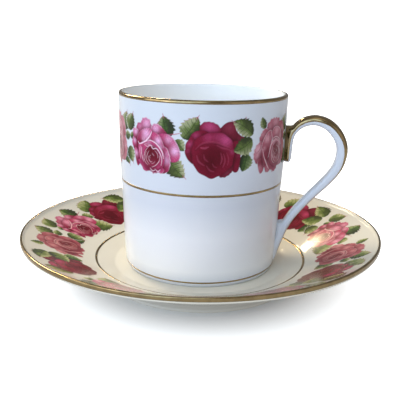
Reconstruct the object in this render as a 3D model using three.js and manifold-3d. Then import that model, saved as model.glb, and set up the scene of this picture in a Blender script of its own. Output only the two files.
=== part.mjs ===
// Straight-sided china cup standing on its saucer, with gold lines and a band of rose sprays on each.
// Millimetres, +Z up, Z = 0 on the table, the cup's axis on Z, the handle along +X.
import * as THREE from "three";
import Module from "manifold-3d";

const wasm = await Module();
wasm.setup();
const { Manifold, Mesh: SolidMesh } = wasm;

// ---- driving dimensions ----
const SEGMENTS = 60; // facets round the axis
const STEP = 360 / SEGMENTS; // degrees between two facet edges
const CUP_R = 32.5; // outer radius of the upper wall
const CUP_TOP = 76.15; // top of the lip
const CUP_BASE = 6.25; // underside of the cup's foot ring
const WALL_FIT = 0.05; // gap of glaze between the cup wall and the handle's stuck-on ends
const FILM_GAP = 0.03; // gap between china and a fired-on film
const FILM = 0.1; // thickness of a film
const WAIST_LINE = [42.7, 41.7]; // upper and lower edge of the middle gold line
const FOOT_LINE = [8.5, 7.75]; // upper and lower edge of the gold line above the foot
const SAUCER_R = 72.3; // outer radius of the saucer
const VERGE_LINE = [42.7, 43.55]; // inner and outer radius of the gold line round the well
const HANDLE_WIDTH = 7.0; // across the strap
const HANDLE_THICK = 3.2; // through the strap
const STATIONS = 34; // cross-sections along the strap
const GILT_FROM = 5; // station where the strap's gold starts, just clear of the upper joint
const GILT_TO = 31; // station where it ends, above the lower tip
const CUP_SPRAY_Z = 59.2; // middle height of the cup's rose band
const CUP_SPRAY_HALF = 10.6; // half height of a cup rose
const SAUCER_SPRAY_R = 57.3; // middle radius of the saucer's rose band
const SAUCER_SPRAY_HALF = 9.6; // half length of a saucer rose along the slope

// Outer wall of the cup from the lip down to the foot.
const CUP_WALL = [
  [CUP_R, 74.6],
  [CUP_R, 47.8],
  [32.1, 44.0],
  [31.82, 38.0],
  [31.58, 25.0],
  [31.22, 13.1],
  [30.75, 7.4],
];
// Lip of the cup from the outer wall over to the inner wall.
const CUP_LIP = [
  [CUP_R, 74.6],
  [32.3, 75.6],
  [31.55, CUP_TOP],
  [30.8, 75.6],
  [30.6, 74.8],
];
// Slope of the saucer and its lip.
const SAUCER_SLOPE = [
  [43.9, 8.82],
  [71.0, 20.0],
];
const SAUCER_LIP = [
  [71.0, 20.0],
  [71.4, 21.2],
  [71.85, 21.6],
  [SAUCER_R, 21.1],
  [SAUCER_R, 20.0],
  [71.8, 19.0],
  [70.7, 18.25],
];
// Centre line of the handle strap, as radius from the axis and height: root first, lower tip last.
const HANDLE_LINE = [
  [33.7, 50.4],
  [33.8, 54.0],
  [33.95, 58.0],
  [34.9, 61.6],
  [37.4, 64.7],
  [40.6, 66.3],
  [44.2, 66.75],
  [48.3, 65.6],
  [51.7, 62.8],
  [54.0, 59.0],
  [54.75, 55.2],
  [54.1, 50.8],
  [52.6, 47.4],
  [50.2, 44.0],
  [47.0, 40.3],
  [43.5, 36.4],
  [40.2, 32.4],
  [37.1, 28.2],
  [34.6, 23.8],
  [32.75, 19.0],
  [31.2, 14.5],
  [30.0, 10.4],
];
const CUP_SPRAY_SPAN = 19.5; // half of the arc that one spray covers on the cup, degrees
const SAUCER_SPRAY_SPAN = 11.2; // the same on the saucer
// Sprays of the cup: azimuth from the handle in degrees, and colour of the rose.
const CUP_SPRAYS = [
  [-155, "dusty"],
  [-112.5, "pink"],
  [-72, "crimson"],
  [-27.5, "dusty"],
  [27.5, "crimson"],
  [72, "dusty"],
  [112.5, "pink"],
  [155, "crimson"],
];
// The same for the saucer.
const SAUCER_SPRAYS = [
  [150, "crimson"],
  [173, "pink"],
  [-161.5, "dusty"],
  [-136, "crimson"],
  [-109, "pink"],
  [-81.5, "dusty"],
  [-54, "pink"],
  [-27, "crimson"],
  [-3.5, "dusty"],
  [20, "pink"],
  [48, "crimson"],
  [73.5, "dusty"],
  [99, "pink"],
  [124.5, "dusty"],
];

// ---- materials ----
const surface = (color, roughness, metalness) =>
  new THREE.MeshStandardMaterial({ color, roughness, metalness });
const cupChina = () => surface(0xf1f1f3, 0.1, 0);
const saucerChina = () => surface(0xf3efe4, 0.1, 0);
const gold = () => surface(0xc9962f, 0.22, 1);
const ROSE_COLOURS = { pink: 0xd9638c, dusty: 0xc07f8d, crimson: 0x9c1534 };
const enamel = (kind) => surface(ROSE_COLOURS[kind], 0.15, 0);

const saucer = new THREE.Group();
saucer.name = "saucer";
const cup = new THREE.Group();
cup.name = "cup";

function add(group, name, geometry, material) {
  const mesh = new THREE.Mesh(geometry, material);
  mesh.name = name;
  group.add(mesh);
}

// ---- helpers ----
const rad = (degrees) => (degrees * Math.PI) / 180;

// A profile of [radius, height] turned round Z.
function turned(profile) {
  const points = profile.map(([r, z]) => new THREE.Vector2(r, z));
  return new THREE.LatheGeometry(points, SEGMENTS).rotateX(Math.PI / 2);
}

// A line of [radius, height] moved sideways by a distance, to its left-hand side.
function offsetLine(line, distance) {
  return line.map((point, i) => {
    const before = line[Math.max(i - 1, 0)];
    const after = line[Math.min(i + 1, line.length - 1)];
    const run = [after[0] - before[0], after[1] - before[1]];
    const length = Math.hypot(run[0], run[1]);
    return [point[0] - (run[1] / length) * distance, point[1] + (run[0] / length) * distance];
  });
}

// A closed film of even thickness lying on the left-hand side of a line.
function filmProfile(line) {
  const inner = offsetLine(line, FILM_GAP);
  const outer = offsetLine(line, FILM_GAP + FILM);
  return [...inner, ...outer.reverse(), inner[0]];
}

// Radius of the cup's outer wall at a height.
function wallRadius(z) {
  const i = CUP_WALL.findIndex(([, low]) => low <= z);
  const [rHigh, zHigh] = CUP_WALL[i - 1];
  const [rLow, zLow] = CUP_WALL[i];
  return rLow + ((rHigh - rLow) * (z - zLow)) / (zHigh - zLow);
}

// How far a facet lies inside its circle at an azimuth, as a factor on the radius.
function facetFactor(azimuth) {
  const within = azimuth - STEP * Math.floor(azimuth / STEP) - STEP / 2;
  return Math.cos(rad(STEP / 2)) / Math.cos(rad(within));
}

// Indexed triangles as a geometry.
function geometryOf(vertices, triangles) {
  const geometry = new THREE.BufferGeometry();
  geometry.setAttribute("position", new THREE.Float32BufferAttribute(vertices.flat(), 3));
  geometry.setIndex(triangles.flat());
  geometry.computeVertexNormals();
  return geometry;
}

// Closed loops of equal length joined in a row and capped at both ends.
function loft(loops) {
  const n = loops[0].length;
  const vertices = loops.flat();
  const triangles = [];
  for (let i = 0; i + 1 < loops.length; i++)
    for (let j = 0; j < n; j++) {
      const a = i * n + j;
      const b = i * n + ((j + 1) % n);
      triangles.push([a, b, b + n], [a, b + n, a + n]);
    }
  const last = (loops.length - 1) * n;
  for (let j = 1; j + 1 < n; j++) {
    triangles.push([0, j + 1, j]);
    triangles.push([last, last + j, last + j + 1]);
  }
  return geometryOf(vertices, triangles);
}

function solidOf(geometry) {
  const flat = geometry.index ? geometry.toNonIndexed() : geometry;
  const mesh = new SolidMesh({
    numProp: 3,
    vertProperties: new Float32Array(flat.attributes.position.array),
    triVerts: Uint32Array.from({ length: flat.attributes.position.count }, (_, i) => i),
  });
  mesh.merge();
  return new Manifold(mesh);
}

function geometryOfSolid(solid) {
  const mesh = solid.getMesh();
  const geometry = new THREE.BufferGeometry();
  geometry.setAttribute("position", new THREE.BufferAttribute(new Float32Array(mesh.vertProperties), 3));
  geometry.setIndex(new THREE.BufferAttribute(new Uint32Array(mesh.triVerts), 1));
  geometry.computeVertexNormals();
  return geometry;
}

// ---- the cup ----
function cupBody() {
  const inside = [
    [30.45, 68.0],
    [30.2, 47.8],
    [29.6, 30.0],
    [29.3, 19.0],
    [28.6, 15.2],
    [27.0, 12.6],
    [24.4, 10.9],
    [21.0, 10.3],
    [0, 10.2],
  ];
  const foot = [
    [30.35, 6.55],
    [29.95, CUP_BASE],
    [27.3, CUP_BASE],
    [26.9, 6.6],
    [26.2, 7.9],
    [0, 7.9],
  ];
  const outline = [...CUP_LIP.slice(1), ...inside];
  return turned([...foot.reverse(), ...CUP_WALL.slice().reverse(), ...outline]);
}

// Cross-section of the strap: [across, outward] points round a flattened oval.
function strapSection(width, thick) {
  const corners = 12;
  return Array.from({ length: corners }, (_, k) => {
    const turn = (2 * Math.PI * k) / corners;
    const squared = (v) => Math.sign(v) * Math.pow(Math.abs(v), 0.62);
    return [(squared(Math.cos(turn)) * width) / 2, (squared(Math.sin(turn)) * thick) / 2];
  });
}

const handleCurve = new THREE.CatmullRomCurve3(
  HANDLE_LINE.map(([r, z]) => new THREE.Vector3(r, 0, z)),
  false,
  "centripetal",
);

// A section carried along the handle's centre line from one station to another.
function alongHandle(sectionAt, first, last) {
  const loops = [];
  for (let i = first; i <= last; i++) {
    const share = i / STATIONS;
    const centre = handleCurve.getPointAt(share);
    const tangent = handleCurve.getTangentAt(share);
    const outward = new THREE.Vector3(-tangent.z, 0, tangent.x);
    loops.push(
      sectionAt(share).map(([across, out]) => [
        centre.x + outward.x * out,
        across,
        centre.z + outward.z * out,
      ]),
    );
  }
  return loft(loops);
}

// The strap is widest where it is stuck to the wall and rounds off at its root.
function strapWidth(share) {
  const rootEnd = Math.max(0, 1 - share / 0.16);
  const lowEnd = Math.max(0, (share - 0.8) / 0.2);
  return HANDLE_WIDTH + 1.2 * rootEnd + 1.4 * lowEnd;
}

function strapThick(share) {
  return HANDLE_THICK * Math.min(1, 0.62 + share * 16);
}

function cupHandle() {
  const strap = alongHandle((share) => strapSection(strapWidth(share), strapThick(share)), 0, STATIONS);
  const wall = CUP_WALL.map(([r, z]) => [r + WALL_FIT, z]);
  const [below, above] = [2, 90];
  const barrel = turned([[0, below], [30, below], ...wall.reverse(), [CUP_R + WALL_FIT, above], [0, above]]);
  return geometryOfSolid(solidOf(strap).subtract(solidOf(barrel)));
}

// Gold on the outward face of the strap, from the upper joint to just above the lower tip.
function handleGilding() {
  const section = (share) => {
    const half = strapSection(strapWidth(share), strapThick(share)).slice(1, 6);
    const grow = (distance) =>
      half.map(([across, out], k) => {
        const before = half[Math.max(k - 1, 0)];
        const after = half[Math.min(k + 1, half.length - 1)];
        const run = [after[0] - before[0], after[1] - before[1]];
        const length = Math.hypot(run[0], run[1]);
        return [across + (run[1] / length) * distance, out - (run[0] / length) * distance];
      });
    return [...grow(FILM_GAP + FILM), ...grow(FILM_GAP).reverse()];
  };
  return alongHandle(section, GILT_FROM, GILT_TO);
}

// ---- the sprays ----
// A film that wraps round the axis: surface(s, lift) gives [radius, height] at s mm from the band's middle.
function spray(azimuth, halfSpan, halfHeight, surface) {
  const columns = [azimuth - halfSpan, azimuth + halfSpan];
  const half = STEP / 2;
  for (let a = Math.ceil((azimuth - halfSpan) / half) * half; a < azimuth + halfSpan; a += half)
    if (a - columns[0] > 0.8 && columns[1] - a > 0.8) columns.push(a);
  columns.sort((a, b) => a - b);
  const loops = columns.map((a) => {
    const off = Math.abs(a - azimuth) / halfSpan;
    const rose = off < 0.92 ? Math.sqrt(1 - (off / 0.92) ** 2) : 0;
    const reach = halfHeight * Math.max(rose, 0.42 - 0.2 * off);
    const place = (s, lift) => {
      const [r, z] = surface(s, lift);
      const radius = r * facetFactor(a);
      return [radius * Math.cos(rad(a)), radius * Math.sin(rad(a)), z];
    };
    return [
      place(-reach, FILM_GAP),
      place(-reach, FILM_GAP + FILM),
      place(reach, FILM_GAP + FILM),
      place(reach, FILM_GAP),
    ];
  });
  return loft(loops);
}

// On the cup s runs down the wall; on the saucer it runs outwards up the slope.
const onCupWall = (s, lift) => [CUP_R + lift, CUP_SPRAY_Z - s];

function onSaucerSlope(s, lift) {
  const [[r0, z0], [r1, z1]] = SAUCER_SLOPE;
  const length = Math.hypot(r1 - r0, z1 - z0);
  const [cos, sin] = [(r1 - r0) / length, (z1 - z0) / length];
  const along = (SAUCER_SPRAY_R - r0) / cos + s;
  return [r0 + along * cos - lift * sin, z0 + along * sin + lift * cos];
}

// ---- the saucer ----
// Outer end of the well, where it rises to the slope.
const VERGE = [[40.0, 7.5], SAUCER_SLOPE[0]];

// Height of the surface between the well and the slope.
function vergeHeight(r) {
  const [[r0, z0], [r1, z1]] = VERGE;
  return z0 + ((r - r0) * (z1 - z0)) / (r1 - r0);
}

function saucerBody() {
  const well = [[0, 6.2], [34.0, 6.2], [37.0, 6.5], ...VERGE];
  const underside = [
    [45.0, 5.9],
    [42.4, 4.3],
    [40.3, 2.5],
    [39.3, 1.0],
    [38.95, 0],
    [37.2, 0],
    [36.6, 2.3],
    [35.2, 3.0],
    [0, 3.0],
  ];
  return turned([...well, ...SAUCER_LIP, ...underside].reverse());
}

// ---- the pieces ----
add(saucer, "saucer_body", saucerBody(), saucerChina());
add(saucer, "saucer_rim_gilding", turned(filmProfile(SAUCER_LIP)), gold());
const vergeLine = VERGE_LINE.map((r) => [r, vergeHeight(r)]);
add(saucer, "saucer_verge_gold_line", turned(filmProfile(vergeLine)), gold());
SAUCER_SPRAYS.forEach(([azimuth, kind], i) => {
  const film = spray(azimuth, SAUCER_SPRAY_SPAN, SAUCER_SPRAY_HALF, onSaucerSlope);
  add(saucer, `saucer_rose_spray_${i + 1}`, film, enamel(kind));
});

add(cup, "cup_body", cupBody(), cupChina());
add(cup, "cup_handle", cupHandle(), cupChina());
add(cup, "handle_gilding", handleGilding(), gold());
add(cup, "cup_rim_gilding", turned(filmProfile(CUP_LIP.slice().reverse())), gold());
add(cup, "cup_waist_gold_line", turned(filmProfile(WAIST_LINE.map((z) => [wallRadius(z), z]))), gold());
add(cup, "cup_foot_gold_line", turned(filmProfile(FOOT_LINE.map((z) => [wallRadius(z), z]))), gold());
CUP_SPRAYS.forEach(([azimuth, kind], i) => {
  const film = spray(azimuth, CUP_SPRAY_SPAN, CUP_SPRAY_HALF, onCupWall);
  add(cup, `cup_rose_spray_${i + 1}`, film, enamel(kind));
});

const part = new THREE.Group();
part.name = "cup_and_saucer";
part.add(saucer, cup);

export default part;
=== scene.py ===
"""Bone china cup on its saucer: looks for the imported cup-and-saucer model."""
import math

import bpy
import numpy as np
from mathutils import Matrix, Vector


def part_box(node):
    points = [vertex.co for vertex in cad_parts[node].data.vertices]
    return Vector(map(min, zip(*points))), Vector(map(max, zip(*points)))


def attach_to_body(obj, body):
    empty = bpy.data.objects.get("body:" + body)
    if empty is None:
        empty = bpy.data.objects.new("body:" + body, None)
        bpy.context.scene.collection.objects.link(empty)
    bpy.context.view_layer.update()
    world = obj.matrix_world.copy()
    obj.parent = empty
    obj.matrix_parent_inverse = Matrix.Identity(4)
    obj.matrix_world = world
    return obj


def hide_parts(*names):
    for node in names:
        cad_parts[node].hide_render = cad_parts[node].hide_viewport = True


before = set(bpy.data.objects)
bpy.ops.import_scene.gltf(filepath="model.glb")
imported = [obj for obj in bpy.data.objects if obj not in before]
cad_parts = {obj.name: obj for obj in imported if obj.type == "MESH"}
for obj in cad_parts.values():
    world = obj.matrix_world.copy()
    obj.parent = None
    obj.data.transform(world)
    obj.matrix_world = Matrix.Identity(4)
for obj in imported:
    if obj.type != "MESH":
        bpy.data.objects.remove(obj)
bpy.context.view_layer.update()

MM = 0.001

# ---- driving dimensions, in millimetres ----
ROUND = 288                 # segments round the axis
CUP_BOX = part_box("cup_body")
SAUCER_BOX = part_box("saucer_body")
CUP_R = CUP_BOX[1][0] / MM
RIM_R = CUP_R + 0.55        # the lip spreads a little beyond the wall
CUP_TOP = CUP_BOX[1][2] / MM
CUP_BASE = CUP_BOX[0][2] / MM
SAUCER_R = SAUCER_BOX[1][0] / MM
WELL_Z = CUP_BASE - 0.05    # surface of the well, under the cup's foot
LIP = 0.93                  # radius of the cup's lip
FILM = 0.035                # how far gold and enamel stand off the china
TUCK = 0.02                 # how far the gold's underside lies within the china
STRAP_TUCK = 0.03           # the same on the handle
FILM_STEP = 0.012           # how much further every second spray does, so that neighbours can overlap
WARP = 0.9                  # how far the saucer's rim is out of level
WARP_FROM = 44.0            # radius at which the warp starts
WARP_TOWARDS = -42.0        # azimuth of its high side
BAND_Z = 59.2               # middle of the cup's rose band
BAND_R = 57.3               # middle radius of the saucer's rose band

# Profile of the cup: underside, outer wall and inner wall, as (radius, height, corner radius).
CUP_FOOT = [
    (0.0, 7.9, 0.0),
    (26.0, 7.9, 1.2),
    (26.9, CUP_BASE, 0.4),
]
CUP_OUTER = [
    (30.0, CUP_BASE, 0.45),
    (30.75, 7.4, 1.6),
    (31.25, 13.1, 30.0),
    (31.7, 25.0, 60.0),
    (32.1, 38.0, 60.0),
    (32.45, 44.0, 40.0),
    (32.85, 52.0, 40.0),
    (RIM_R, CUP_TOP, LIP),
]
CUP_INNER = [
    (RIM_R - 1.9, CUP_TOP, LIP),
    (30.35, 66.0, 60.0),
    (30.1, 46.0, 60.0),
    (29.6, 28.0, 60.0),
    (29.2, 10.4, 7.5),
    (0.0, 10.2, 0.0),
]
SAUCER_TOP = [
    (0.0, WELL_Z, 0.0),
    (35.6, WELL_Z, 5.0),
    (38.6, 7.2, 4.0),
    (43.9, 8.82, 8.0),
    (70.9, 20.1, 2.4),
]
SAUCER_EDGE = [
    (71.5, 21.05, 0.45),
    (SAUCER_R + 0.1, 21.05, 0.55),
    (SAUCER_R + 0.1, 18.95, 1.1),
    (70.4, 18.15, 3.0),
]
SAUCER_UNDER = [
    (45.0, 5.9, 9.0),
    (41.6, 4.1, 3.0),
    (39.4, 1.4, 1.6),
    (38.95, 0.0, 0.35),
    (37.2, 0.0, 0.35),
    (36.6, 2.5, 0.8),
    (35.0, 3.0, 0.8),
    (0.0, 3.0, 0.0),
]
SAUCER_SLOPE = (43.9, 8.82), (71.0, 20.0)    # its lower and upper end
# Centre line of the strap as (radius, height).
HANDLE_LINE = [
    (34.3, 50.4), (34.4, 54.0), (34.6, 58.0), (35.4, 61.6), (37.6, 64.5), (40.6, 66.25),
    (44.2, 66.8), (48.3, 65.6), (51.7, 62.8), (54.0, 59.0), (54.75, 55.2), (54.1, 50.8),
    (52.6, 47.4), (50.2, 44.0), (47.0, 40.3), (43.5, 36.4), (40.2, 32.4), (37.1, 28.2),
    (34.6, 23.8), (32.75, 19.0), (31.2, 14.5), (30.0, 10.4),
]
HANDLE_WIDTH = 7.0
STRAP_STATIONS = 170        # sections along the strap
STRAP_SIDES = 44            # points round one section
GILT_SIDES = 26             # points across its gold
# Thickness of the strap, by share of its length.
HANDLE_THICK = [
    (0.0, 2.5), (0.1, 2.7), (0.2, 3.5), (0.3, 4.1), (0.42, 4.4), (0.55, 3.7), (0.7, 3.1), (1.0, 3.4),
]
WALL_AT_HANDLE = 31.7, 32.9  # the wall's radius at the strap's lower and upper ends
CROTCH_Z = 23.9             # below this the strap's inward side runs into the wall
ROOT_Z = 64.2               # below this the strap's outward side does, at its upper end

# Gold: the cup's lines as (lower, upper edge), the saucer's line as (inner, outer edge).
CUP_GOLD_LINES = {"waist": (41.66, 42.72), "foot": (7.75, 8.55)}
CUP_LIP_GOLD = 1.45         # how far the lip's gold comes down outside
SAUCER_GOLD_LINE = 42.6, 43.75
SAUCER_LIP_GOLD = 71.5, 19.4    # gold lies beyond this radius and above this height
HANDLE_GOLD_ENDS = 0.005, 0.965
# Where the gold's edge runs along the strap: (share of the length, degrees above the strap's side).
GILT_EDGE = [
    (0.0, -14), (0.15, -10), (0.27, -3), (0.35, 5), (0.42, 14), (0.5, 30), (0.6, 44), (1.0, 50),
]

# Roses round the cup and round the saucer: azimuth from the handle, colour.
CUP_SPRAYS = [
    (-155, "dusty"), (-112.5, "pink"), (-72, "crimson"), (-27.5, "dusty"),
    (27.5, "crimson"), (72, "dusty"), (112.5, "pink"), (155, "crimson"),
]
SAUCER_SPRAYS = [
    (150, "crimson"), (173, "pink"), (-161.5, "dusty"), (-136, "crimson"), (-109, "pink"),
    (-81.5, "dusty"), (-54, "pink"), (-27, "crimson"), (-3.5, "dusty"), (20, "pink"),
    (48, "crimson"), (73.5, "dusty"), (99, "pink"), (124.5, "dusty"),
]

# ---- the painting ----
CANVAS_HALF = (15.0, 12.4)  # half the size of one painted spray
CANVAS_STEP = 0.19
LEAF_BROADER = 1.22         # leaves are painted this much broader than listed
LEAF_BLUSH = (0.40, 0.10, 0.15)
LEAF_FRESH = ((0.040, 0.055, 0.020), (0.11, 0.17, 0.040), (0.38, 0.42, 0.24))
LEAF_DARK = ((0.025, 0.036, 0.016), (0.060, 0.12, 0.028), (0.24, 0.31, 0.14))
LEAF_GREY = ((0.16, 0.19, 0.12), (0.34, 0.40, 0.28), (0.62, 0.66, 0.56))
# Petals: shadow, body, light, and the line along the rim.
PINK = ((0.22, 0.010, 0.042), (0.50, 0.060, 0.175), (0.78, 0.46, 0.70), (0.86, 0.68, 0.80))
PINK_HEART = ((0.105, 0.003, 0.012), (0.165, 0.006, 0.024), (0.36, 0.05, 0.11), (0.80, 0.52, 0.62))
CRIMSON = ((0.105, 0.003, 0.012), (0.205, 0.007, 0.030), (0.52, 0.075, 0.215), (0.34, 0.04, 0.09))
WINE = ((0.10, 0.005, 0.015), (0.17, 0.012, 0.032), (0.32, 0.055, 0.10), (0.28, 0.04, 0.08))
DUSTY = ((0.20, 0.026, 0.048), (0.42, 0.120, 0.165), (0.68, 0.41, 0.47), (0.80, 0.60, 0.65))
DUSTY_HEART = ((0.14, 0.015, 0.026), (0.25, 0.050, 0.070), (0.46, 0.19, 0.23), (0.80, 0.58, 0.62))

# ---- colours of the glazes and the gold ----
# painted light: one china, given a bluer, darker white on the cup and a creamier white on the saucer,
# standing in for the cool light on the cup's walls and the warm light on the saucer
CUP_WHITE_COOL_LIT = (0.75, 0.775, 0.835)
SAUCER_WHITE_WARM_LIT = (0.88, 0.82, 0.70)
CUP_SHINE, SAUCER_SHINE = 0.15, 0.22    # specular level of the two glazes
# painted light: the cup's inside is whiter than its outside, standing in for the brighter light that
# shines through the wall and bounces round inside
CUP_INSIDE_LIT_WHITE = (0.97, 0.98, 0.99)
SPECK = (0.62, 0.60, 0.57)
GOLD_BRIGHT, GOLD_WORN = (0.38, 0.275, 0.135), (0.25, 0.175, 0.085)
# Painted light: the same print tinted for the light on cup and saucer, warmer and brighter on the
# saucer under its warm light; tints of petals and leaves, growth of the leaves.
CUP_LIGHT_TINTS_AND_GROWTH = (1.17, 1.06, 1.06), (1.15, 1.05, 1.05), 1.0
SAUCER_LIGHT_TINTS_AND_GROWTH = (1.2, 0.85, 0.72), (1.6, 1.4, 1.1), 1.2

# ---- camera ----
VIEW_AZIMUTH = -80.0        # where the camera stands, degrees from the handle
VIEW_REACH = 238.8          # its distance from the axis
VIEW_HEIGHT = 100.3
VIEW_PITCH = 16.03          # looking down, degrees
VIEW_YAW = 0.11
VIEW_ROLL = 1.26
LENS = 54.27

# ---- stage and lights ----
BACKDROP = 2400.0           # how far from the cup the floor curves up
BACKDROP_CURVE = 500.0
BACKDROP_HEIGHT = 1800.0
BACKDROP_STEPS = 8          # straight pieces in its curve
# painted shadow: the floor's own light is dim under and round the saucer, a painted contact shadow, and
# evenly bright beyond
GLOW_IN_PAINTED_SHADOW, GLOW_NEAR, GLOW_FAR = 0.02, 0.95, 1.0   # the floor's own light, by distance from the axis
GLOW_REACH = 40.0, 68.0, 200.0, 900.0   # where it starts and stops rising, near and far
BOUNCE = ((0.93, 0.96, 1.0), 0.64)      # colour and strength of the light the table gives back
BOUNCE_REACH = 76.0, 1500.0
BOUNCE_SIDES = 48
BOUNCE_Z = 0.5
# Lights: azimuth from the camera's side (left is negative), elevation, distance, size, power, colour.
WORLD = ((0.97, 0.98, 1.0), 0.25)
LIGHTS = {
    "window": (-62, 22, 1.6, (1.2, 1.2), 9.6, (0.90, 0.95, 1.0)),
    "sky_window": (-18, 34, 1.6, (1.1, 1.1), 8.2, (0.56, 0.78, 1.0)),
    "low_sky": (-34, 6, 1.6, (1.1, 1.0), 7.6, (0.46, 0.68, 1.0)),
    "room": (58, 18, 1.6, (1.7, 1.3), 2.2, (1.0, 0.96, 0.98)),
    "lamp": (-138, 34, 1.6, (0.5, 0.5), 17.2, (1.0, 0.88, 0.66)),
    "overhead": (20, 78, 1.6, (1.0, 1.0), 1.6, (1.0, 0.95, 0.84)),
    "glint": (-172, 26, 1.2, (0.03, 0.14), 1.0, (1.0, 0.80, 0.50)),
}


def add_camera():
    data = bpy.data.cameras.new("camera")
    data.lens = LENS
    data.sensor_width = 36.0
    data.clip_start = 0.01
    camera = bpy.data.objects.new("camera", data)
    bpy.context.collection.objects.link(camera)
    azimuth = math.radians(VIEW_AZIMUTH)
    place = Matrix.Translation(
        Vector((math.cos(azimuth) * VIEW_REACH, math.sin(azimuth) * VIEW_REACH, VIEW_HEIGHT)) * MM
    )
    heading = Matrix.Rotation(azimuth + math.pi / 2 + math.radians(VIEW_YAW), 4, "Z")
    tilt = Matrix.Rotation(math.radians(90.0 - VIEW_PITCH), 4, "X")
    roll = Matrix.Rotation(math.radians(VIEW_ROLL), 4, "Z")
    camera.matrix_world = place @ heading @ tilt @ roll
    bpy.context.scene.camera = camera


# ---- node helpers ----
class Shader:
    """A principled material built from nodes."""

    def __init__(self, name):
        self.material = bpy.data.materials.new(name)
        self.material.use_nodes = True
        self.tree = self.material.node_tree
        self.body = self.tree.nodes["Principled BSDF"]

    def node(self, kind, **values):
        made = self.tree.nodes.new(kind)
        for name, value in values.items():
            if hasattr(made, name):
                setattr(made, name, value)
            else:
                made.inputs[name].default_value = value
        return made

    def link(self, source, target):
        self.tree.links.new(source, target)

    def feed(self, name, source):
        self.link(source, self.body.inputs[name])

    def set(self, **values):
        for name, value in values.items():
            self.body.inputs[name.replace("_", " ")].default_value = value

    def noise(self, scale, detail=3.0, roughness=0.5):
        place = self.node("ShaderNodeTexCoord")
        made = self.node("ShaderNodeTexNoise", Scale=scale, Detail=detail, Roughness=roughness)
        self.link(place.outputs["Object"], made.inputs["Vector"])
        return made.outputs["Fac"]

    def remap(self, value, low, high, to_low, to_high):
        ends = {"From Min": low, "From Max": high, "To Min": to_low, "To Max": to_high}
        made = self.node("ShaderNodeMapRange", **ends)
        self.link(value, made.inputs["Value"])
        return made.outputs["Result"]

    def mix(self, factor, a, b, blend="MIX"):
        made = self.node("ShaderNodeMix", data_type="RGBA", blend_type=blend)
        for name, value in (("Factor", factor), ("A", a), ("B", b)):
            socket = made.inputs[name]
            if isinstance(value, bpy.types.NodeSocket):
                self.link(value, socket)
            else:
                socket.default_value = value if isinstance(value, float) else (*value, 1.0)
        return made.outputs["Result"]

    def bump(self, height, strength, distance):
        made = self.node("ShaderNodeBump", Strength=strength, Distance=distance)
        self.link(height, made.inputs["Height"])
        self.feed("Normal", made.outputs["Normal"])


def glazed(shader, shine):
    """The clear glaze that china and enamel share."""
    shader.set(IOR=1.52, Specular_IOR_Level=shine)
    shader.bump(shader.noise(55.0, 1.0), 0.12, 0.0006)


def china(name, white, shine):
    """Glazed bone china: barely uneven white, with the finest specks."""
    shader = Shader(name)
    cloud = shader.noise(28.0, 2.0)
    warmer = tuple(c * f for c, f in zip(white, (0.985, 0.98, 0.965)))
    tone = shader.mix(shader.remap(cloud, 0.35, 0.65, 0.0, 1.0), white, warmer)
    # painted light: the inside gets a whiter copy of the china, for the brighter light in it
    inner = shader.node("ShaderNodeAttribute", attribute_name="inner")
    tone = shader.mix(inner.outputs["Fac"], tone, CUP_INSIDE_LIT_WHITE)
    speck = shader.remap(shader.noise(900.0, 2.0, 0.7), 0.78, 0.84, 0.0, 0.35)
    shader.feed("Base Color", shader.mix(speck, tone, SPECK))
    rough = shader.remap(shader.noise(160.0, 3.0), 0.3, 0.7, 0.05, 0.09)
    shader.feed("Roughness", rough)
    glazed(shader, shine)
    return shader.material


def enamel(name, shine):
    """Fired transfer enamel under a clear glaze, coloured by the painting stored on the mesh."""
    shader = Shader(name)
    paint = shader.node("ShaderNodeAttribute", attribute_name="paint")
    cover = shader.node("ShaderNodeAttribute", attribute_name="cover")
    grain = shader.remap(shader.noise(2600.0, 2.0), 0.3, 0.7, 0.86, 1.14)
    grained = shader.node("ShaderNodeVectorMath", operation="SCALE")
    shader.link(paint.outputs["Color"], grained.inputs[0])
    shader.link(grain, grained.inputs["Scale"])
    colour = shader.mix(cover.outputs["Fac"], paint.outputs["Color"], grained.outputs["Vector"])
    shader.feed("Base Color", colour)
    rough = shader.remap(cover.outputs["Fac"], 0.0, 1.0, 0.07, 0.16)
    shader.feed("Roughness", rough)
    glazed(shader, shine)
    return shader.material


def burnished_gold():
    """Burnished gilding: warm metal with fine polishing marks and slightly rubbed patches."""
    shader = Shader("burnished_gold")
    worn = shader.remap(shader.noise(240.0, 4.0, 0.6), 0.42, 0.72, 0.0, 1.0)
    colour = shader.mix(worn, GOLD_BRIGHT, GOLD_WORN)
    shader.feed("Base Color", colour)
    shader.set(Metallic=1.0)
    rough = shader.remap(shader.noise(1400.0, 3.0, 0.6), 0.3, 0.7, 0.10, 0.22)
    shader.feed("Roughness", rough)
    shader.bump(shader.noise(700.0, 2.0), 0.1, 0.0002)
    return shader.material


# ---- mesh helpers ----
def rounded(corners, arc=7):
    """A line through corners (radius, height, corner radius), with each corner turned into an arc."""
    points = []
    for i, (r, z, bend) in enumerate(corners):
        here = Vector((r, z))
        if bend == 0 or i in (0, len(corners) - 1):
            points.append(here)
            continue
        before = Vector(corners[i - 1][:2]) - here
        after = Vector(corners[i + 1][:2]) - here
        half = before.angle(after) / 2
        reach = min(bend / math.tan(half), before.length * 0.49, after.length * 0.49)
        start = here + before.normalized() * reach
        end = here + after.normalized() * reach
        for k in range(arc + 1):
            t = k / arc
            points.append(start * (1 - t) ** 2 + here * 2 * t * (1 - t) + end * t ** 2)
    return [(p.x, p.y) for p in points]


def mesh_object(name, vertices, faces, material):
    data = bpy.data.meshes.new(name)
    data.from_pydata([tuple(c * MM for c in v) for v in vertices], [], faces)
    data.update()
    data.polygons.foreach_set("use_smooth", [True] * len(data.polygons))
    made = bpy.data.objects.new(name, data)
    bpy.context.collection.objects.link(made)
    made.data.materials.append(material)
    return made


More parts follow.
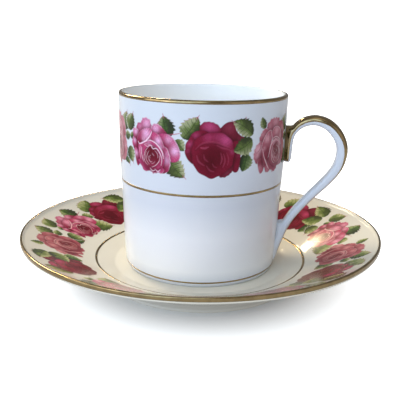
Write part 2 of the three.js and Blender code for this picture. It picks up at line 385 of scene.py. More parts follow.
def turned(name, profile, material, closed=False):
    """A profile of (radius, height) turned round the axis; its outside is on the right-hand side."""
    vertices = []
    rings = []
    for r, z in profile:
        if r < 1e-6:
            rings.append([len(vertices)])
            vertices.append((0.0, 0.0, z))
            continue
        rings.append(list(range(len(vertices), len(vertices) + ROUND)))
        for k in range(ROUND):
            a = 2 * math.pi * k / ROUND
            vertices.append((r * math.cos(a), r * math.sin(a), z))
    faces = []
    pairs = list(zip(rings, rings[1:]))
    if closed:
        pairs.append((rings[-1], rings[0]))
    for low, high in pairs:
        for k in range(ROUND):
            n = (k + 1) % ROUND
            if len(low) == 1:
                faces.append((low[0], high[n], high[k]))
            elif len(high) == 1:
                faces.append((low[k], low[n], high[0]))
            else:
                faces.append((low[k], low[n], high[n], high[k]))
    return mesh_object(name, vertices, faces, material)


def offset_line(line, distance):
    """A line of (radius, height) moved to its right-hand side."""
    moved = []
    for i, (r, z) in enumerate(line):
        before = line[max(i - 1, 0)]
        after = line[min(i + 1, len(line) - 1)]
        run = Vector((after[0] - before[0], after[1] - before[1])).normalized()
        moved.append((r + run.y * distance, z - run.x * distance))
    return moved


def film_over(line, thickness=FILM):
    """A closed film over a line, its edges tucked just under the china."""
    top = offset_line(line, thickness)
    under = offset_line(line, -TUCK)
    return [under[0]] + top[1:-1] + [under[-1]] + under[-2:0:-1]


def height_at(line, r):
    """Height of a line of (radius, height), ordered by radius, at a radius."""
    for (r0, z0), (r1, z1) in zip(line, line[1:]):
        if r0 <= r <= r1:
            return z0 + (z1 - z0) * (r - r0) / (r1 - r0)
    raise ValueError(r)


def radius_at(line, z):
    """Radius of a line of (radius, height), ordered by height, at a height."""
    for (r0, z0), (r1, z1) in zip(line, line[1:]):
        if z0 <= z <= z1:
            return r0 + (r1 - r0) * (z - z0) / (z1 - z0)
    raise ValueError(z)


def attach(piece, body, slot, *nodes):
    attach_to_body(piece, body)
    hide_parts(*nodes)


# ---- painting ----
class Canvas:
    """A painting in millimetres, x to the right and y up: a colour and a cover at each grid point."""

    def __init__(self, half_width, half_height, step, ground, growth):
        across = np.arange(-half_width, half_width + step / 2, step)
        up = np.arange(-half_height, half_height + step / 2, step)
        self.x, self.y = np.meshgrid(across, up)
        self.rgb = np.tile(np.array(ground, dtype=float), self.x.shape + (1,))
        self.cover = np.zeros(self.x.shape)
        self.growth = growth    # how much larger than listed its leaves are

    def window(self, points, margin):
        """The part of the grid within a margin of some points."""
        low = points.min(axis=0) - margin
        high = points.max(axis=0) + margin
        rows = np.where((self.y[:, 0] >= low[1]) & (self.y[:, 0] <= high[1]))[0]
        columns = np.where((self.x[0] >= low[0]) & (self.x[0] <= high[0]))[0]
        if not len(rows) or not len(columns):
            return None
        return slice(rows[0], rows[-1] + 1), slice(columns[0], columns[-1] + 1)

    def lay(self, part, colour, alpha):
        """Colour laid over part of the painting."""
        self.rgb[part] += (colour - self.rgb[part]) * alpha[..., None]
        self.cover[part] = np.maximum(self.cover[part], alpha)

    def shade(self, part, amount):
        """Darken what is already painted."""
        self.rgb[part] *= 1 - (amount * self.cover[part])[..., None]


def smooth(low, high, value):
    t = np.clip((value - low) / (high - low), 0, 1)
    return t * t * (3 - 2 * t)


def blend(a, b, t):
    return np.array(a) + (np.array(b) - np.array(a)) * t[..., None]


def blend_over(colour, over, t):
    return colour + (np.array(over) - colour) * np.clip(t, 0, 1)[..., None]


def curve(points, closed, steps=8):
    """A smooth line through given points."""
    points = np.array(points, dtype=float)
    n = len(points)
    made = []
    for i in range(n if closed else n - 1):
        pick = [i - 1, i, i + 1, i + 2]
        p = [points[k % n] if closed else points[min(max(k, 0), n - 1)] for k in pick]
        for t in np.arange(steps) / steps:
            along = (p[2] - p[0]) * t
            bend = (2 * p[0] - 5 * p[1] + 4 * p[2] - p[3]) * t ** 2
            twist = (3 * p[1] - p[0] - 3 * p[2] + p[3]) * t ** 3
            made.append(0.5 * (2 * p[1] + along + bend + twist))
    if not closed:
        made.append(points[-1])
    return np.array(made)


def line_distance(x, y, line, closed):
    """Distance to a line, and how far along it the nearest point lies, 0 to 1."""
    a = line if closed else line[:-1]
    b = np.roll(line, -1, axis=0) if closed else line[1:]
    e = b - a
    px = x[..., None] - a[:, 0]
    py = y[..., None] - a[:, 1]
    t = np.clip((px * e[:, 0] + py * e[:, 1]) / np.maximum((e ** 2).sum(axis=1), 1e-9), 0, 1)
    gap = np.hypot(px - t * e[:, 0], py - t * e[:, 1])
    nearest = gap.argmin(axis=-1)
    distance = np.take_along_axis(gap, nearest[..., None], -1)[..., 0]
    along = (nearest + np.take_along_axis(t, nearest[..., None], -1)[..., 0]) / len(a)
    return distance, along


def inside_distance(x, y, outline):
    """Distance to a closed outline, positive inside it."""
    distance, _ = line_distance(x, y, outline, True)
    a = outline
    b = np.roll(outline, -1, axis=0)
    rise = np.where(b[:, 1] == a[:, 1], 1e-9, b[:, 1] - a[:, 1])
    spans = (a[:, 1] > y[..., None]) != (b[:, 1] > y[..., None])
    left = x[..., None] < a[:, 0] + (b[:, 0] - a[:, 0]) * (y[..., None] - a[:, 1]) / rise
    inside = (spans & left).sum(axis=-1) % 2 == 1
    return np.where(inside, distance, -distance)


def ripple(x, y, scale, seed):
    """Soft uneven waves between -1 and 1, the same on every run."""
    total = np.zeros_like(x)
    for k in range(4):
        turn = seed * 1.7 + k * 2.4
        along = (x * math.cos(turn) + y * math.sin(turn)) * scale
        total += np.sin(along * (1 + 0.37 * k) + seed + k * k)
    return total / 4


def petal(canvas, seed, tones, root, spots, rim, streaks, frill, outline):
    """One petal: dark at its root, lit at its spots, with a pale line on the side its rim faces."""
    dark, middle, light, pale = tones
    edge = curve(outline, True)
    centre = edge.mean(axis=0)
    if frill:
        away = edge - centre
        turn = np.arctan2(away[:, 1], away[:, 0])
        edge = edge + away / np.hypot(*away.T)[:, None] * (frill * np.sin(turn * 11 + seed))[:, None]
    part = canvas.window(edge, 1.3)
    if part is None:
        return
    x, y = canvas.x[part], canvas.y[part]
    depth = inside_distance(x, y, edge)
    canvas.shade(part, 0.42 * np.exp(-np.clip(-depth, 0, 9) / 0.45) * (depth < 0.1))
    reach = np.hypot(edge[:, 0] - root[0], edge[:, 1] - root[1]).max()
    outwards = np.hypot(x - root[0], y - root[1]) / reach
    colour = blend(dark, middle, smooth(0.05, 0.85, outwards + 0.12 * ripple(x, y, 1.3, seed)))
    for sx, sy, size, strength in spots:
        glow = np.exp(-((x - sx) ** 2 + (y - sy) ** 2) / size ** 2)
        colour = blend_over(colour, light, glow * strength)
    turn = np.arctan2(y - root[1], x - root[0])
    hairs = np.sin(turn * 46 + 2.2 * np.sin(turn * 9 + seed) + outwards * 3)
    colour = colour * (1 + streaks * hairs * smooth(0.2, 0.8, outwards))[..., None]
    colour = colour * (1 - 0.28 * np.exp(-np.clip(depth, 0, 9) / 0.35))[..., None]
    canvas.lay(part, colour, smooth(-0.10, 0.10, depth))
    if rim:
        facing = ((x - centre[0]) * rim[0] + (y - centre[1]) * rim[1]) / (
            np.hypot(x - centre[0], y - centre[1]) * math.hypot(rim[0], rim[1]) + 1e-6
        )
        line = np.exp(-(((depth - 0.13) / 0.15) ** 2)) * smooth(0.0, 0.7, facing)
        broken = 0.75 + 0.25 * ripple(x, y, 2.6, seed + 3)
        canvas.lay(part, np.array(pale), np.clip(line * rim[2] * broken, 0, 1) * (depth > -0.15))


def stroke(canvas, colour, width, strength, points):
    """A brush line, thin at both ends."""
    line = curve(points, False)
    part = canvas.window(line, 0.6)
    if part is None:
        return
    distance, along = line_distance(canvas.x[part], canvas.y[part], line, False)
    half = 0.5 * width * (0.35 + 0.65 * np.sin(np.pi * np.clip(along, 0.02, 0.98)))
    canvas.lay(part, np.array(colour), strength * smooth(0.09, -0.09, distance - half))


def leaf(canvas, base, tip, width, tones, seed, bend, teeth, blush):
    """A rose leaf with saw-cut edges: shaded green, dark veins, a paler half and a reddish tip."""
    deep, green, pale = tones
    base, tip = np.array(base, float), np.array(tip, float)
    tip = tip + (tip - base) * (canvas.growth - 1)
    width = width * LEAF_BROADER * canvas.growth
    run = tip - base
    length = np.hypot(*run)
    forward = run / length
    part = canvas.window(np.array([base, tip]), width * 0.75 + abs(bend) + 0.6)
    if part is None:
        return
    x, y = canvas.x[part] - base[0], canvas.y[part] - base[1]
    u = (x * forward[0] + y * forward[1]) / length
    inner = np.clip(u, 0, 1)
    v = -x * forward[1] + y * forward[0] - bend * 4 * inner * (1 - inner)
    saw = (u * teeth - np.abs(v) / width) % 1.0
    half = 0.5 * width * np.sin(np.pi * inner ** 0.8) ** 0.8 * (1.0 - 0.22 * saw)
    depth = np.minimum(half - np.abs(v), np.minimum(u, 1 - u) * length)
    share = np.clip(v / (half + 0.01), -1, 1)
    tone = smooth(-0.9, 1.0, share * 0.8 + 0.35 * ripple(x, y, 1.1, seed) + (inner - 0.5) * 0.7)
    colour = blend(deep, green, smooth(0.0, 0.55, tone))
    colour = blend_over(colour, pale, smooth(0.55, 1.0, tone) * 0.9)
    ribs = np.abs(((u * teeth - np.abs(share) * 0.9) + 0.5) % 1.0 - 0.5)
    vein = np.exp(-((ribs / 0.085) ** 2)) * smooth(1.0, 0.6, np.abs(share))
    colour = blend_over(colour, deep, 0.75 * vein)
    beside = np.exp(-(((ribs - 0.2) / 0.08) ** 2)) * smooth(-0.2, 0.6, share)
    colour = blend_over(colour, pale, 0.45 * beside)
    colour = blend_over(colour, np.array(deep) * 0.8, 0.85 * np.exp(-((v / 0.13) ** 2)))
    reddish = blush * smooth(0.3, 0.0, depth) * smooth(0.25, 0.9, inner + 0.2 * share)
    colour = blend_over(colour, LEAF_BLUSH, reddish)
    canvas.lay(part, colour, smooth(-0.10, 0.10, depth))
    if blush:
        stroke(canvas, LEAF_BLUSH, 0.3, 0.8, [tip - forward * 1.2, tip, tip + forward * 0.9])


def leaves(canvas, rows):
    """Leaves, one over another: base, tip, width, tones, seed, bend, teeth, blush."""
    for row in rows:
        leaf(canvas, *row)


def petals(canvas, rows, first=1):
    """Petals, one over another: tones, root, spots, rim, streaks, frill, outline."""
    for seed, row in enumerate(rows, first):
        petal(canvas, seed, *row)


def strokes(canvas, colour, rows):
    """Brush lines of one colour: width, strength, points."""
    for row in rows:
        stroke(canvas, colour, *row)


def blot(canvas, centre, size, tilt, colour, strength):
    """A soft oval of colour on what is already painted."""
    lean = math.radians(tilt)
    x, y = canvas.x - centre[0], canvas.y - centre[1]
    along = (x * math.cos(lean) + y * math.sin(lean)) / size[0]
    across = (y * math.cos(lean) - x * math.sin(lean)) / size[1]
    t = strength * np.exp(-(along ** 2 + across ** 2)) * canvas.cover
    canvas.rgb += (np.array(colour) - canvas.rgb) * t[..., None]


def heart(canvas, centre, size, tilt, tones, turns, seed):
    """The rolled-up middle of a rose: a dark bowl with the pale lips of its inner petals.

    Each turn is one lip: its share of the bowl's size, start and end in degrees, width, strength.
    """
    cx, cy = centre
    lean = math.radians(tilt)
    around = np.linspace(0, 2 * math.pi, 24, endpoint=False)

    def at(angle, share):
        px = math.cos(angle) * size[0] * share
        py = math.sin(angle) * size[1] * share
        x = cx + px * math.cos(lean) - py * math.sin(lean)
        y = cy + px * math.sin(lean) + py * math.cos(lean)
        return x, y

    bowl = [at(a, 1 + 0.04 * math.sin(5 * a + seed)) for a in around]
    spots = [(cx, cy - size[1], size[0] * 0.7, 0.4)]
    petal(canvas, 0, tones, (cx, cy + size[1] * 0.2), spots, None, 0.04, 0.0, bowl)
    for k, (share, start, end, width, strength) in enumerate(turns):
        count = max(4, int(abs(end - start) / 22))
        lip, fold = [], []
        for i in range(count + 1):
            angle = math.radians(start + (end - start) * i / count)
            wobble = 0.05 * math.sin(3.1 * angle + 1.9 * k + seed)
            lip.append(at(angle, share + wobble))
            fold.append(at(angle, share + wobble + 0.13))
        stroke(canvas, tones[2], 0.6, 0.18 * strength, fold)
        stroke(canvas, tones[3], width, strength, lip)


def paint_pink(canvas):
    """Full-blown pink rose, seen from slightly above, with magenta shadows and lilac lights."""
    leaves(canvas, [
        ((-12.6, 4.4), (-10.0, 10.6), 5.6, LEAF_FRESH, 1.0, 0.5, 6, 0.7),
        ((-12.2, -1.6), (-10.2, -7.4), 4.8, LEAF_FRESH, 2.0, -0.4, 5, 0.2),
        ((-11.6, 1.6), (-9.0, 3.6), 2.6, LEAF_FRESH, 2.6, 0.0, 4, 0.0),
        ((6.6, 3.8), (4.4, 11.2), 6.6, LEAF_DARK, 3.0, 0.5, 6, 1.0),
        ((6.2, -3.6), (12.4, -10.2), 6.4, LEAF_FRESH, 4.0, -0.5, 6, 0.5),
        ((8.6, 2.8), (12.2, -0.6), 4.0, LEAF_FRESH, 5.0, 0.2, 5, 0.0),
    ])
    strokes(canvas, LEAF_BLUSH, [
        (0.35, 0.9, [(6.0, 4.8), (8.4, 5.0), (11.0, 5.6)]),
    ])
    petals(canvas, [
        (PINK, (-3.8, 4.0), [(-2.6, 7.8, 1.9, 0.75), (-6.0, 6.4, 1.2, 0.3)], (0.2, 1, 0.75), 0.1, 0.16,
         [(-7.6, 5.4), (-7.2, 7.4), (-5.6, 7.9), (-4.4, 9.6), (-2.0, 9.8), (-0.6, 8.2), (-0.8, 5.0),
          (-4.0, 3.0)]),
        (PINK, (4.2, 3.6), [(1.4, 6.5, 1.5, 0.8), (4.0, 4.6, 0.9, 0.1)], (-0.5, 1, 0.7), 0.1, 0.08,
         [(-0.6, 6.0), (0.2, 7.8), (2.2, 8.1), (4.2, 6.8), (6.6, 3.8), (5.0, 2.6), (1.0, 3.4)]),
        (PINK, (4.6, -0.6), [(8.9, -0.9, 1.6, 1.0), (6.6, 3.0, 1.5, 0.6), (9.0, 1.2, 1.0, 0.3)],
         (1, 0.5, 0.8), 0.1, 0.0,
         [(2.0, 4.2), (5.0, 5.0), (7.8, 4.0), (9.9, 1.2), (10.9, -2.0), (10.0, -4.4), (7.4, -4.9),
          (5.0, -2.6), (3.4, 1.0)]),
        (PINK, (-7.6, -2.6), [(-8.9, 1.1, 1.0, 0.85)], (-1, 0.2, 0.4), 0.1, 0.0,
         [(-10.3, 1.6), (-9.2, 2.6), (-7.0, 1.6), (-6.4, -1.4), (-7.2, -3.6), (-9.0, -2.8),
          (-10.6, -0.4)]),
        (PINK, (-7.2, 2.2), [(-8.3, 4.3, 1.1, 0.9)], (-0.4, 1, 0.85), 0.1, 0.18,
         [(-10.0, 3.4), (-9.8, 5.2), (-8.2, 5.6), (-6.6, 4.6), (-6.6, 2.0), (-8.4, 1.6)]),
        (PINK, (-6.2, -6.0), [(-8.2, -3.6, 1.1, 0.75)], (-1, -0.2, 0.3), 0.1, 0.0,
         [(-9.2, -2.0), (-8.0, -1.6), (-6.6, -3.2), (-6.0, -6.6), (-7.4, -8.2), (-8.6, -5.6)]),
        (PINK, (3.4, -6.6), [(5.8, -4.6, 1.5, 0.6), (6.0, -2.0, 1.0, 0.35)], (1, 0.3, 0.75), 0.1, 0.1,
         [(3.4, 0.6), (5.8, -0.2), (7.1, -3.4), (7.0, -7.0), (5.4, -9.2), (2.6, -8.8), (1.2, -4.0)]),
        (PINK, (-0.6, -7.0), [(-4.6, -8.6, 0.8, 0.12), (2.6, -9.0, 0.7, 0.2)], (0.2, -1, 0.5), 0.1, 0.2,
         [(-6.6, -5.6), (-5.4, -8.0), (-3.4, -9.7), (-1.4, -9.2), (0.4, -10.0), (2.2, -9.4),
          (4.0, -9.6), (4.4, -7.4), (0.0, -4.4)]),
        (PINK, (-6.2, -0.6), [(-2.8, 4.3, 1.9, 0.9), (-4.2, 2.2, 1.0, 0.35)], (-0.5, 1, 0.15), 0.14,
         0.0,
         [(-7.9, 0.4), (-7.2, 3.0), (-5.2, 5.2), (-2.6, 6.3), (-0.4, 6.0), (0.2, 3.6), (-1.4, 0.4),
          (-4.4, -1.8), (-7.0, -1.6)]),
    ])
    for x, y in ((-4.6, 2.4), (-3.8, 2.8), (-3.0, 3.1), (-2.2, 3.2)):
        stroke(canvas, PINK[3], 0.22, 0.55, [(x, y), (x + 0.3, y - 0.9), (x + 0.2, y - 1.7)])
    petals(canvas, [
        (PINK, (1.2, -1.0), [(2.4, 2.2, 1.3, 1.0), (3.3, 0.0, 0.9, 0.6)], (0.8, 0.5, 0.3), 0.12, 0.0,
         [(-0.4, 4.4), (1.0, 5.1), (3.0, 4.0), (4.6, 0.8), (4.9, -2.4), (3.0, -2.6), (0.2, 0.0)]),
        (PINK, (-0.8, -6.6), [(-1.8, 1.0, 1.2, 0.3), (-5.8, -1.6, 0.8, 0.2)], (0.4, 1, 0.6), 0.1, 0.0,
         [(-6.9, -0.6), (-5.6, 0.6), (-2.8, 1.6), (-0.6, 2.0), (2.2, 0.8), (4.4, -1.8), (5.0, -5.2),
          (3.4, -8.2), (0.0, -9.0), (-3.8, -8.2), (-6.2, -5.2)]),
        (PINK, (-0.6, -6.0), [(1.4, -1.0, 0.8, 0.3)], (0.5, 0.8, 0.7), 0.1, 0.0,
         [(-3.9, 0.2), (-1.6, 0.5), (1.4, -0.4), (3.5, -2.6), (4.0, -5.6), (2.6, -7.8), (-0.6, -8.2),
          (-3.6, -6.8), (-4.8, -3.2)]),
    ], first=10)
    turns = [
        (1.0, 18, -78, 0.26, 0.85), (0.99, 120, 250, 0.24, 0.85), (0.8, 152, 258, 0.2, 0.8),
        (0.78, 64, 4, 0.2, 0.7), (0.62, 128, 215, 0.2, 0.75), (0.6, 330, 268, 0.18, 0.5),
        (0.45, 178, 290, 0.2, 0.8), (0.36, 84, 22, 0.18, 0.7), (0.2, 120, 240, 0.18, 0.6),
    ]
    heart(canvas, (-0.5, -3.9), (3.4, 3.8), -8, PINK_HEART, turns, 1.0)
    strokes(canvas, PINK[3], [
        (0.48, 0.95, [(-7.0, 0.9), (-6.2, 0.1), (-4.6, 0.7), (-2.6, 1.9), (-1.0, 3.8), (-0.3, 5.2)]),
        (0.42, 0.9, [(-1.4, 2.1), (0.6, 1.6), (2.6, 0.2), (4.0, -1.8), (4.5, -4.0)]),
        (0.3, 0.9,
         [(-3.9, 0.3), (-2.4, -0.4), (-0.8, 0.2), (0.2, -0.9), (1.8, -0.7), (3.2, -2.4), (3.9, -4.4),
          (3.6, -6.6)]),
        (0.28, 0.55, [(-5.9, -0.6), (-6.1, -2.8), (-5.6, -5.4)]),
        (0.3, 0.75, [(-5.1, -1.0), (-5.2, -3.4), (-4.2, -6.2)]),
        (0.32, 0.8, [(-1.2, -8.1), (-0.1, -9.0), (1.0, -8.6)]),
        (0.32, 0.8, [(1.0, -8.2), (2.2, -9.0), (3.2, -8.2)]),
    ])


def paint_crimson(canvas):
    """Deep crimson rose: a closed globe with one magenta-lit shoulder and dark folds."""
    leaves(canvas, [
        ((-11.4, 3.8), (-6.2, 11.4), 6.8, LEAF_FRESH, 1.5, -0.5, 6, 1.0),
        ((12.4, 6.8), (11.0, 10.6), 2.6, LEAF_GREY, 5.5, 0.2, 5, 0.3),
        ((11.6, -1.8), (10.2, -8.2), 5.4, LEAF_DARK, 4.5, 0.4, 6, 0.0),
    ])
    petals(canvas, [
        (WINE, (5.2, 0.6), [(4.8, 7.8, 1.8, 0.35), (8.8, 3.8, 1.1, 0.1)], None, 0.04, 0.0,
         [(1.2, 6.4), (2.4, 8.6), (4.4, 9.8), (6.4, 9.5), (7.4, 6.6), (9.2, 4.8), (10.8, 4.0),
          (9.6, 1.2), (7.0, -2.4), (3.0, 3.0)]),
        (CRIMSON, (-1.0, 4.4), [(-2.2, 8.2, 2.2, 0.75), (0.2, 7.4, 1.2, 0.25)], None, 0.05, 0.08,
         [(-5.6, 6.6), (-5.2, 8.8), (-3.4, 9.9), (-0.6, 9.5), (1.4, 8.0), (1.8, 6.0), (-1.0, 4.6),
          (-4.6, 4.8)]),
        (CRIMSON, (-4.0, 3.0), [(-6.8, 4.9, 1.4, 0.4)], None, 0.05, 0.0,
         [(-8.8, 4.4), (-7.2, 6.3), (-5.0, 6.8), (-2.6, 6.0), (-4.0, 2.6), (-7.6, 1.4)]),
        (CRIMSON, (5.4, -2.4), [(8.4, -2.0, 1.1, 0.12)], None, 0.04, 0.0,
         [(5.6, 2.4), (8.0, 3.0), (9.3, 0.6), (9.2, -3.6), (8.6, -7.6), (7.0, -8.2), (5.4, -6.0),
          (5.0, -1.6)]),
        (CRIMSON, (-6.2, -3.0), [(-8.9, 1.9, 1.1, 0.45), (-9.6, -0.6, 0.9, 0.2)], (-1, 0.3, 0.25), 0.05,
         0.0,
         [(-9.2, 3.6), (-8.2, 4.6), (-6.4, 2.0), (-5.8, -2.0), (-7.0, -5.2), (-9.2, -4.0),
          (-10.6, -1.2), (-10.4, 1.6)]),
        (WINE, (3.2, -4.0), [(3.8, -8.2, 1.3, 0.3)], None, 0.04, 0.1,
         [(0.6, -6.0), (1.4, -9.2), (2.9, -10.0), (5.0, -9.2), (6.4, -7.4), (6.2, -4.4), (3.0, -3.0)]),
        (CRIMSON, (-1.6, -3.6), [(3.6, 3.4, 2.3, 0.9), (-2.6, 4.4, 1.8, 0.35), (6.0, -0.8, 0.9, 0.35),
          (0.6, 4.6, 1.6, 0.3)], None, 0.04, 0.14,
         [(-8.2, -1.6), (-7.9, 1.8), (-6.0, 4.4), (-3.0, 5.8), (0.6, 6.2), (3.8, 5.2), (6.0, 2.6),
          (6.8, -1.0), (6.2, -5.4), (3.6, -8.2), (1.2, -9.6), (-1.4, -10.2), (-4.4, -8.9),
          (-7.2, -6.2)]),
    ])
    blot(canvas, (-1.0, -1.0), (4.6, 2.6), 10, CRIMSON[0], 0.75)
    blot(canvas, (-1.4, -5.0), (2.0, 3.4), 0, (0.075, 0.002, 0.008), 0.75)
    blot(canvas, (1.4, -1.6), (1.2, 4.2), 8, (0.09, 0.003, 0.010), 0.5)
    glow = (0.42, 0.065, 0.13)
    fold = (0.07, 0.003, 0.009)
    strokes(canvas, fold, [
        (0.9, 0.3, [(-7.0, -0.4), (-5.2, 1.5), (-2.6, 2.3), (0.2, 2.2), (2.8, 1.2), (5.6, 0.0)]),
    ])
    strokes(canvas, glow, [
        (0.8, 0.26, [(-6.8, 0.2), (-5.0, 2.0), (-2.6, 2.8), (0.0, 2.7), (2.6, 1.8), (5.4, 0.6)]),
        (0.6, 0.3, [(0.4, 1.7), (2.4, 0.7), (4.2, 0.3), (5.8, -0.4)]),
        (0.8, 0.45, [(-5.2, 0.8), (-3.8, 0.6), (-2.4, 1.1)]),
        (0.7, 0.28, [(-6.4, -2.0), (-5.6, -4.2), (-3.6, -5.6)]),
        (0.6, 0.25, [(-4.0, -1.6), (-3.6, -3.2), (-2.4, -4.2)]),
        (0.6, 0.32, [(1.9, -1.0), (2.4, -3.2), (1.9, -5.2)]),
        (0.55, 0.32, [(2.9, -1.4), (3.5, -3.8), (2.8, -6.2)]),
        (0.5, 0.28, [(4.0, -1.0), (4.8, -3.4), (4.4, -5.6)]),
        (0.6, 0.26, [(-3.0, -5.6), (-1.8, -7.2), (-0.2, -7.8)]),
        (0.5, 0.22, [(-1.0, -4.8), (-0.2, -6.0), (0.8, -6.2)]),
    ])
    leaves(canvas, [
        ((14.0, 5.0), (6.0, 9.9), 5.6, LEAF_FRESH, 3.5, -0.6, 7, 0.3),
        ((13.8, 3.2), (6.6, -0.6), 6.0, LEAF_FRESH, 6.5, 0.7, 6, 0.0),
    ])


def paint_dusty(canvas):
    """Faded old-rose bloom with fine pale lines round every petal."""
    leaves(canvas, [
        ((-5.4, 6.6), (-7.4, 10.8), 3.0, LEAF_FRESH, 2.2, 0.3, 5, 0.0),
        ((7.0, 4.0), (9.8, 10.8), 6.0, LEAF_FRESH, 3.2, -0.3, 6, 0.8),
        ((8.0, -2.6), (11.4, -8.6), 5.4, LEAF_DARK, 4.2, -0.3, 6, 0.3),
        ((8.6, 1.4), (12.4, 2.6), 3.2, LEAF_FRESH, 5.2, 0.2, 5, 0.0),
    ])
    petals(canvas, [
        (DUSTY, (-0.6, 4.4), [(0.6, 8.4, 1.9, 0.5), (-3.0, 7.0, 1.2, 0.3)], (0, 1, 0.5), 0.1, 0.22,
         [(-4.8, 5.4), (-4.4, 7.8), (-2.2, 9.8), (0.6, 10.0), (3.0, 9.6), (4.2, 7.4), (3.2, 4.2),
          (-1.0, 3.6)]),
        (DUSTY, (4.6, 3.0), [(6.6, 5.8, 1.5, 0.4)], (1, 0.6, 0.6), 0.1, 0.12,
         [(3.0, 7.2), (4.6, 8.8), (7.0, 7.6), (8.4, 4.6), (8.2, 1.0), (5.4, 1.4), (3.4, 4.0)]),
        (DUSTY, (-4.2, 2.6), [(-6.6, 4.6, 1.3, 0.3)], (-0.6, 1, 0.6), 0.1, 0.12,
         [(-8.2, 2.4), (-7.4, 5.0), (-5.6, 6.6), (-3.6, 6.0), (-3.2, 3.0), (-5.6, 1.0)]),
        (DUSTY, (-6.0, -3.6), [(-8.6, -0.6, 1.8, 0.9), (-9.0, -3.2, 1.1, 0.5)], (-1, 0.4, 0.9), 0.1,
         0.16,
         [(-10.6, -3.2), (-10.2, -0.4), (-8.6, 1.6), (-6.6, 1.9), (-5.4, -0.6), (-5.8, -4.2),
          (-7.4, -6.4), (-9.6, -5.4)]),
        (DUSTY, (-6.0, -5.2), [(-7.4, -7.6, 0.9, 0.3)], (-1, -0.4, 0.5), 0.1, 0.0,
         [(-8.6, -4.6), (-6.6, -4.0), (-5.0, -6.0), (-5.6, -9.0), (-7.0, -9.8), (-8.2, -7.6)]),
        (DUSTY, (5.4, -3.4), [(8.2, -2.2, 1.2, 0.4)], (1, -0.2, 0.6), 0.1, 0.1,
         [(6.0, 1.6), (8.6, 0.8), (9.6, -2.4), (8.8, -6.0), (6.4, -8.2), (4.6, -5.4), (4.8, -1.0)]),
        (DUSTY, (0.0, -6.0), [(-3.2, -9.0, 0.8, 0.2), (4.6, -7.4, 0.8, 0.2)], (0, -1, 0.45), 0.1, 0.2,
         [(-5.6, -5.0), (-4.8, -8.4), (-3.0, -10.0), (-1.2, -9.2), (0.4, -10.2), (2.4, -9.8),
          (3.6, -8.4), (6.0, -8.0), (5.4, -5.0), (0.0, -4.0)]),
        (DUSTY, (-3.0, -4.2), [(-4.2, 2.8, 1.5, 0.7), (-5.4, -0.6, 0.9, 0.35)], (-0.7, 0.8, 0.7), 0.14,
         0.0,
         [(-7.0, -0.8), (-6.4, 2.2), (-4.6, 4.8), (-2.4, 5.8), (-0.8, 4.4), (-1.2, 0.6), (-2.6, -3.6),
          (-4.4, -7.2), (-6.2, -5.2)]),
        (DUSTY, (2.4, 0.6), [(1.6, 5.2, 1.5, 0.6), (4.8, 2.8, 1.0, 0.4)], (0.2, 1, 0.75), 0.14, 0.0,
         [(-1.6, 3.4), (-0.6, 6.2), (1.8, 6.8), (4.4, 5.6), (6.0, 2.6), (6.0, -1.0), (3.0, 0.8),
          (0.2, 1.2)]),
        (DUSTY, (1.8, -5.0), [(0.2, 1.0, 1.0, 0.45), (5.2, -3.0, 0.8, 0.35)], (-0.2, 1, 0.75), 0.1, 0.0,
         [(-2.6, -2.6), (-1.8, 0.6), (0.4, 2.2), (3.0, 2.0), (5.2, 0.0), (6.2, -3.4), (5.0, -6.8),
          (2.2, -8.4), (-0.6, -7.4), (-2.4, -5.2)]),
    ])
    turns = [
        (1.0, 112, 250, 0.24, 0.85), (0.99, 60, -72, 0.24, 0.8), (0.8, 130, 250, 0.2, 0.8),
        (0.78, 76, -20, 0.2, 0.7), (0.6, 120, 230, 0.18, 0.75), (0.58, 330, 276, 0.18, 0.6),
        (0.42, 160, 290, 0.18, 0.75), (0.32, 84, 10, 0.18, 0.65), (0.16, 110, 250, 0.18, 0.55),
    ]
    heart(canvas, (1.9, -3.2), (3.1, 3.9), 8, DUSTY_HEART, turns, 2.0)
    strokes(canvas, DUSTY[3], [
        (0.32, 0.8, [(-6.4, -0.6), (-5.4, -3.8), (-3.8, -6.6), (-2.6, -8.2)]),
        (0.3, 0.8, [(-2.2, 5.4), (-1.2, 2.6), (-2.0, -1.0), (-3.2, -4.4)]),
        (0.3, 0.85, [(-1.8, 1.2), (-0.2, 2.6), (2.0, 2.8), (4.4, 1.6), (5.8, -0.6)]),
        (0.26, 0.7, [(-2.4, -1.6), (-1.4, 0.4), (0.8, 1.6), (3.2, 1.2), (4.8, -0.6)]),
        (0.28, 0.7, [(-4.4, -5.0), (-3.4, -7.4), (-2.0, -8.8)]),
    ])
    strokes(canvas, DUSTY[0], [
        (0.24, 0.6, [(-9.4, -2.2), (-8.0, -1.0), (-6.8, 0.8)]),
    ])


PAINTERS = {"pink": paint_pink, "crimson": paint_crimson, "dusty": paint_dusty}


def painted(ground, petal_light_tint, leaf_light_tint, growth):
    """Each kind of rose painted once on a ground colour, with its petals and leaves tinted as painted
    light for the light on them.
    """
    made = {}
    for kind, paint in PAINTERS.items():
        canvas = Canvas(*CANVAS_HALF, CANVAS_STEP, ground, growth)
        paint(canvas)
        # painted light: petals and leaves tinted for the light on this piece of china
        red = smooth(0.0, 0.03, canvas.rgb[..., 0] - canvas.rgb[..., 1])
        light_tint = blend(leaf_light_tint, petal_light_tint, red)
        canvas.rgb *= 1 + (light_tint - 1) * canvas.cover[..., None]
        made[kind] = canvas
    return made


